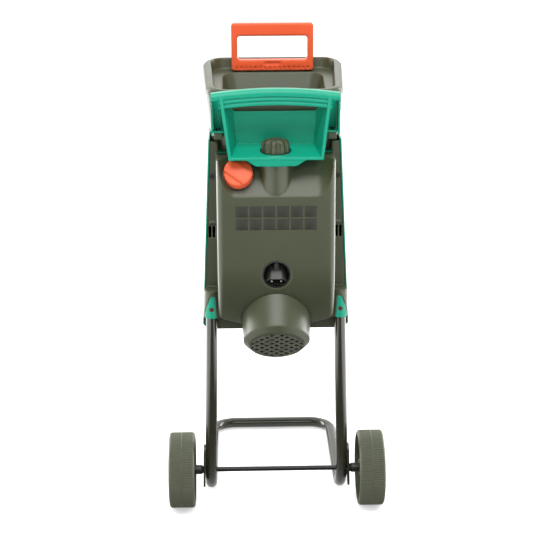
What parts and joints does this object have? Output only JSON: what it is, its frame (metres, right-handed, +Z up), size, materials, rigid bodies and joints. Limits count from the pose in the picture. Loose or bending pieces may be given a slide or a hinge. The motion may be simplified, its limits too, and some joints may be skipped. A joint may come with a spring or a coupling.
{
  "type": "garden shredder",
  "caption": "Upright electric garden shredder: a feed hopper with a plunger above an inclined motor and knife disc, on a bent tube stand with wheels.",
  "frame": {"origin": "on the floor, under the middle of the machine's bounding box", "axes": "+Z up, +X across from the left wheel to the right wheel, -Y towards the motor and wheel side"},
  "size_m": [0.453, 0.5618, 1],
  "materials": {
    "black_tube": "gloss black powder coat",
    "green_plastic": "semi gloss blue-green moulding",
    "grey_plastic": "satin charcoal moulding",
    "dark_plastic": "fine grained black moulding",
    "red_plastic": "semi gloss red-orange moulding",
    "wheel_plastic": "matt dark grey moulding",
    "bright_steel": "ground or zinc plated steel",
    "dark_steel": "black oxide steel",
    "red_screw": "red-brown lacquered screws",
    "cast_alloy": "as cast light alloy",
    "copper": "copper and brass electrical parts",
    "iron_stack": "stacked sheet iron with windings"
  },
  "bodies": {
    "base": {"stand_frame": "black_tube", "axle": "dark_steel", "axle_plates": "black_tube", "axle_spacers": "dark_plastic", "axle_washers": "bright_steel", "hub_caps": "dark_plastic", "rear_cover": "grey_plastic", "front_shell": "green_plastic", "left_cuff": "green_plastic", "right_cuff": "green_plastic", "leg_screws": "red_screw", "shell_screws": "dark_steel", "motor_cover": "grey_plastic", "motor_grille": "grey_plastic", "motor_frame": "cast_alloy", "motor_stator": "iron_stack", "end_bracket": "cast_alloy", "lower_bearing": "bright_steel", "upper_bearing": "bright_steel", "motor_screws": "bright_steel", "brush_holders": "copper", "cutting_chamber": "cast_alloy", "discharge_chute": "dark_plastic", "inlet_cup": "dark_plastic", "inlet_socket": "dark_plastic", "inlet_pins": "bright_steel", "switch_bezel": "dark_plastic", "switch_box": "dark_plastic", "interlock_switch": "dark_plastic", "lock_insert": "copper"},
    "left_wheel": {"left_wheel": "wheel_plastic"},
    "right_wheel": {"right_wheel": "wheel_plastic"},
    "cutter": {"motor_shaft": "bright_steel", "armature": "iron_stack", "commutator": "copper", "cooling_fan": "dark_plastic", "cutter_disc": "bright_steel", "knives": "bright_steel", "knife_screws": "dark_steel", "disc_bolt": "dark_steel"},
    "switch_knob": {"switch_knob": "red_plastic"},
    "hopper_unit": {"hopper": "grey_plastic", "handle_hood": "green_plastic", "hood_screws": "dark_steel"},
    "lock_knob": {"lock_knob": "grey_plastic", "lock_bolt": "bright_steel"},
    "plunger": {"plunger_handle": "red_plastic", "plunger_blade": "grey_plastic"}
  },
  "joints": [
    {"name": "left_wheel_spin", "type": "hinge", "parent": "base", "child": "left_wheel", "pos_m": [-0.1995, -0.16513, 0.08], "axis": [1, 0, 0], "continuous": true},
    {"name": "right_wheel_spin", "type": "hinge", "parent": "base", "child": "right_wheel", "pos_m": [0.1995, -0.16513, 0.08], "axis": [1, 0, 0], "continuous": true},
    {"name": "cutter_spin", "type": "hinge", "parent": "base", "child": "cutter", "pos_m": [0, -0.24113, 0.381], "axis": [0, 0.6947, 0.7193], "continuous": true},
    {"name": "switch_turn", "type": "hinge", "parent": "base", "child": "switch_knob", "pos_m": [-0.074, -0.22075, 0.72901], "axis": [0, -0.848, 0.5299], "range_deg": [0, 90]},
    {"name": "hopper_lift", "type": "slide", "parent": "base", "child": "hopper_unit", "axis": [0, 0, 1], "range_m": [0, 0.25]},
    {"name": "lock_turn", "type": "hinge", "parent": "hopper_unit", "child": "lock_knob", "pos_m": [0, -0.21113, 0.79], "axis": [0, 0, 1], "continuous": true},
    {"name": "plunger_pull", "type": "slide", "parent": "hopper_unit", "child": "plunger", "axis": [0, 0, 1], "range_m": [0, 0.14]}
  ]
}
